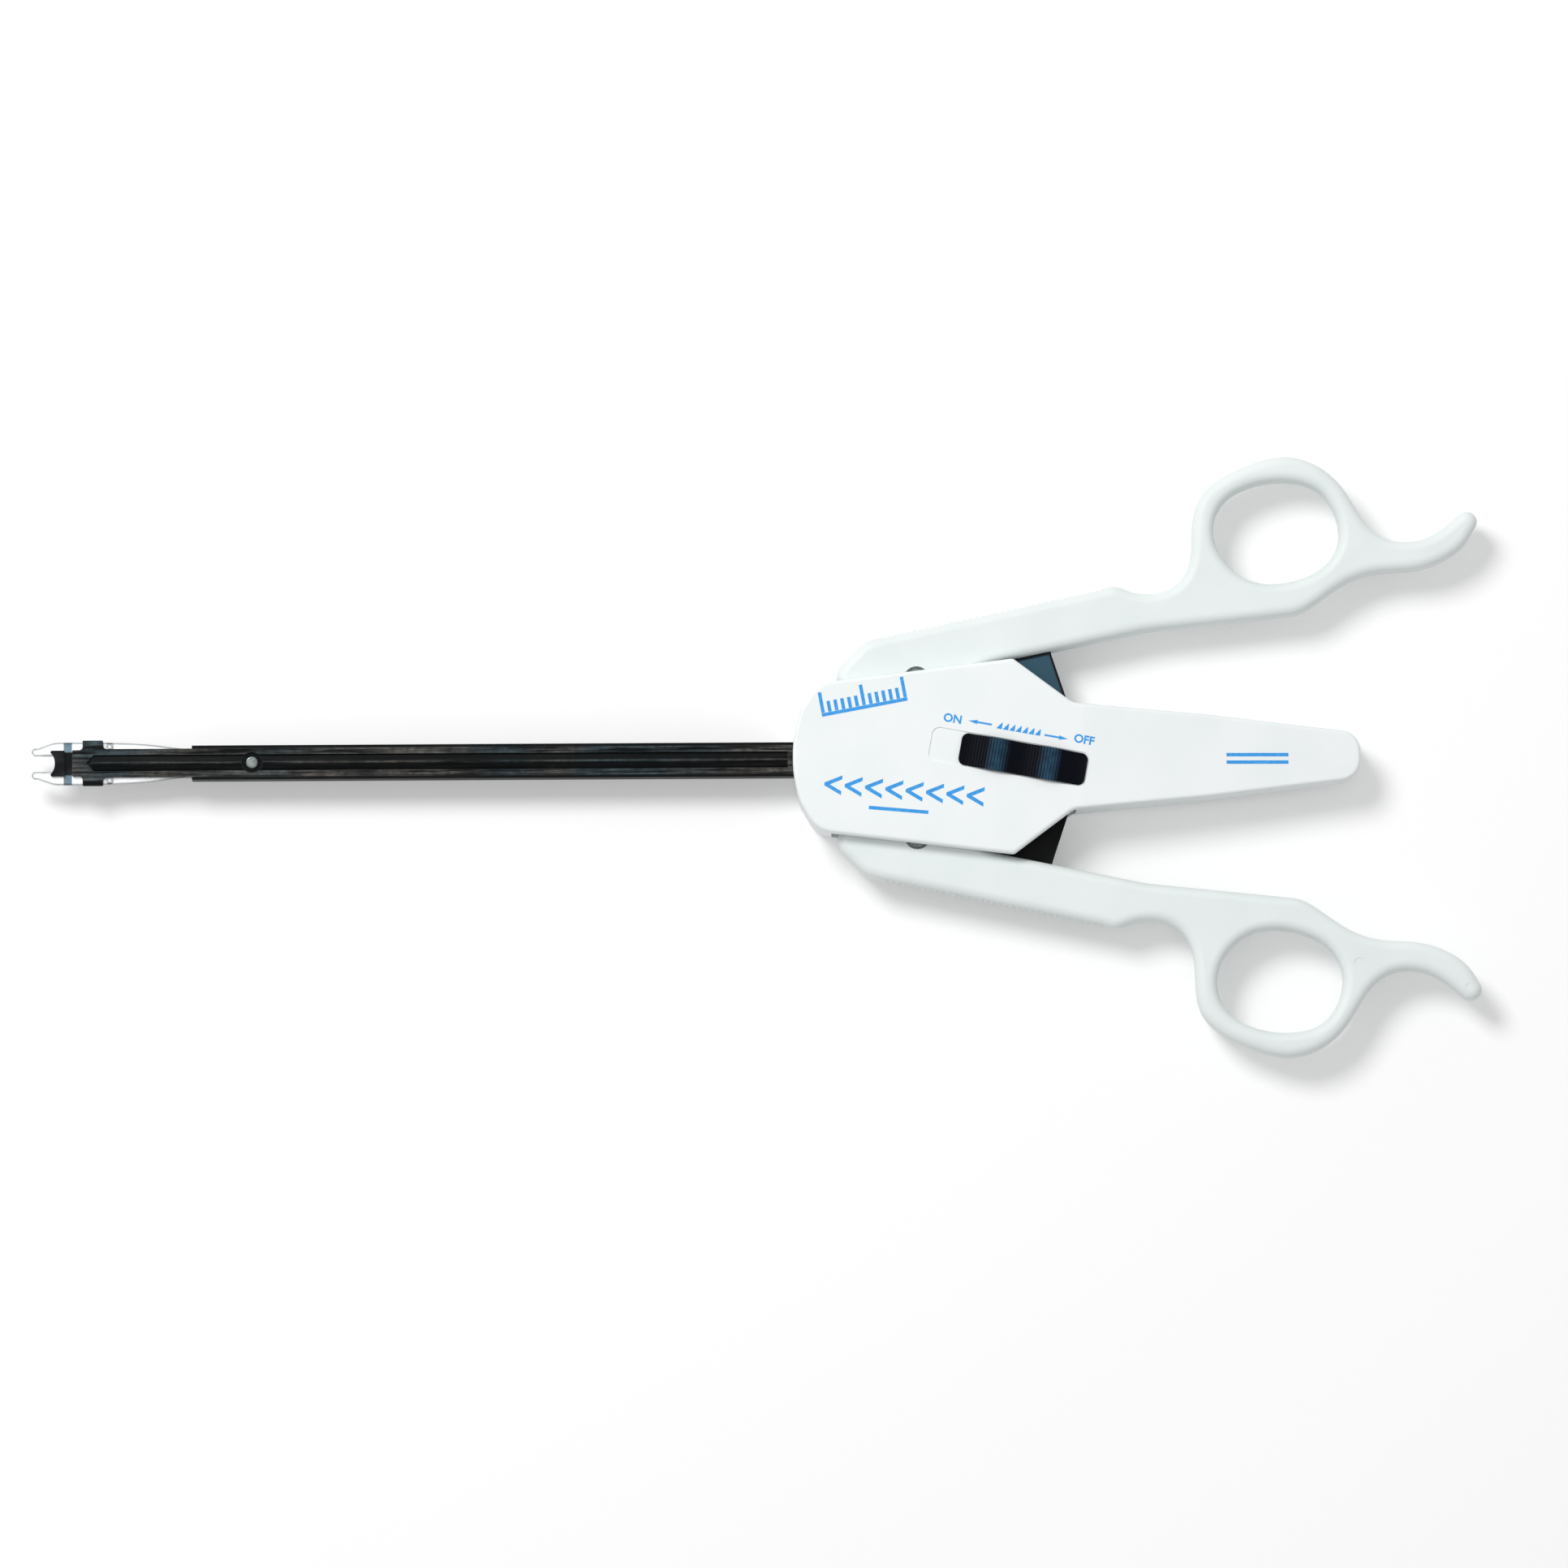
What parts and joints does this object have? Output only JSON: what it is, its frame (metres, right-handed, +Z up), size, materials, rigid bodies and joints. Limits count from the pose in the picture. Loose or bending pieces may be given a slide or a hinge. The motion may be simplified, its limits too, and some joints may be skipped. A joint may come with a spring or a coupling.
{
  "type": "surgical clip applier",
  "caption": "Hand-held surgical clip applier: ring handles squeeze a flat channel over spring jaws, with a clip cartridge in the shaft and a ratchet slide on the body.",
  "frame": {"origin": "on the bottom cover's flat underside, on the centreline, between the two handle pivots", "axes": "+X along the shaft towards the handles (the jaws point along -X), +Y towards the handle that the ratchet slide's ON end leans to, +Z up, out of the top cover"},
  "size_m": [0.2917, 0.1214, 0.0163],
  "materials": {
    "white_plastic": "fine satin moulded",
    "cover_plastic": "fine satin moulded",
    "black_steel": "black oxide, satin",
    "switch_plastic": "satin moulded",
    "bright_steel": "bright",
    "lever_steel": "blue-black, satin",
    "dark_plastic": "satin moulded",
    "spring_steel": "drawn wire",
    "clip_titanium": "blue-grey matt"
  },
  "bodies": {
    "body": {"top_cover": "cover_plastic", "bottom_cover": "cover_plastic", "upper_pivot_pin": "bright_steel", "lower_pivot_pin": "bright_steel", "cartridge_spine": "black_steel", "clip_guide_nose": "dark_plastic", "cartridge_tray": "dark_plastic", "clip_stack": "clip_titanium", "clip_follower": "dark_plastic", "follower_spring": "spring_steel", "jaw_rivet": "bright_steel", "switch_detent_spring": "spring_steel", "pawl_pin": "bright_steel"},
    "upper_handle": {"upper_handle": "white_plastic", "upper_drive_lever": "lever_steel"},
    "lower_handle": {"lower_handle": "white_plastic", "lower_drive_lever": "lever_steel"},
    "drive": {"drive_block": "dark_plastic", "drive_pin": "bright_steel", "return_spring_collar": "bright_steel", "return_spring": "spring_steel", "crimping_channel": "black_steel", "feed_bar": "spring_steel"},
    "upper_jaw": {"upper_jaw": "bright_steel"},
    "lower_jaw": {"lower_jaw": "bright_steel"},
    "ratchet_switch": {"ratchet_switch": "switch_plastic"},
    "ratchet_pawl": {"ratchet_pawl": "dark_plastic"}
  },
  "joints": [
    {"name": "upper_handle_pivot", "type": "hinge", "parent": "body", "child": "upper_handle", "pos_m": [0, 0.0159, 0.0075], "axis": [0, 0, -1], "range_deg": [0, 14], "stiffness_Nm_per_rad": 2, "springref_deg": -8.59},
    {"name": "lower_handle_pivot", "type": "hinge", "parent": "body", "child": "lower_handle", "pos_m": [0, -0.0159, 0.0075], "axis": [0, 0, 1], "range_deg": [0, 14]},
    {"name": "drive_slide", "type": "slide", "parent": "body", "child": "drive", "axis": [-1, 0, 0], "range_m": [0, 0.0055], "deforming": ["return_spring"]},
    {"name": "upper_jaw_pivot", "type": "hinge", "parent": "body", "child": "upper_jaw", "pos_m": [-0.134, 0, 0.0078], "axis": [0, 0, 1], "range_deg": [0, 1.8]},
    {"name": "lower_jaw_pivot", "type": "hinge", "parent": "body", "child": "lower_jaw", "pos_m": [-0.134, 0, 0.0078], "axis": [0, 0, -1], "range_deg": [0, 1.8]},
    {"name": "switch_slide", "type": "slide", "parent": "body", "child": "ratchet_switch", "axis": [-0.9839, 0.1788, 0], "range_m": [0, 0.0057]},
    {"name": "pawl_pivot", "type": "hinge", "parent": "body", "child": "ratchet_pawl", "pos_m": [0.0295, 0, 0.0119], "axis": [0, -1, 0], "range_deg": [0, 2.7]}
  ],
  "couplings": [
    {"joint": "lower_handle_pivot", "follows": "upper_handle_pivot", "ratio": 1},
    {"joint": "drive_slide", "follows": "upper_handle_pivot", "m_per_rad": 0.022509},
    {"joint": "upper_jaw_pivot", "follows": "upper_handle_pivot", "ratio": 0.12857},
    {"joint": "lower_jaw_pivot", "follows": "upper_handle_pivot", "ratio": 0.12857},
    {"joint": "pawl_pivot", "follows": "switch_slide", "rad_per_m": 8.2673}
  ]
}
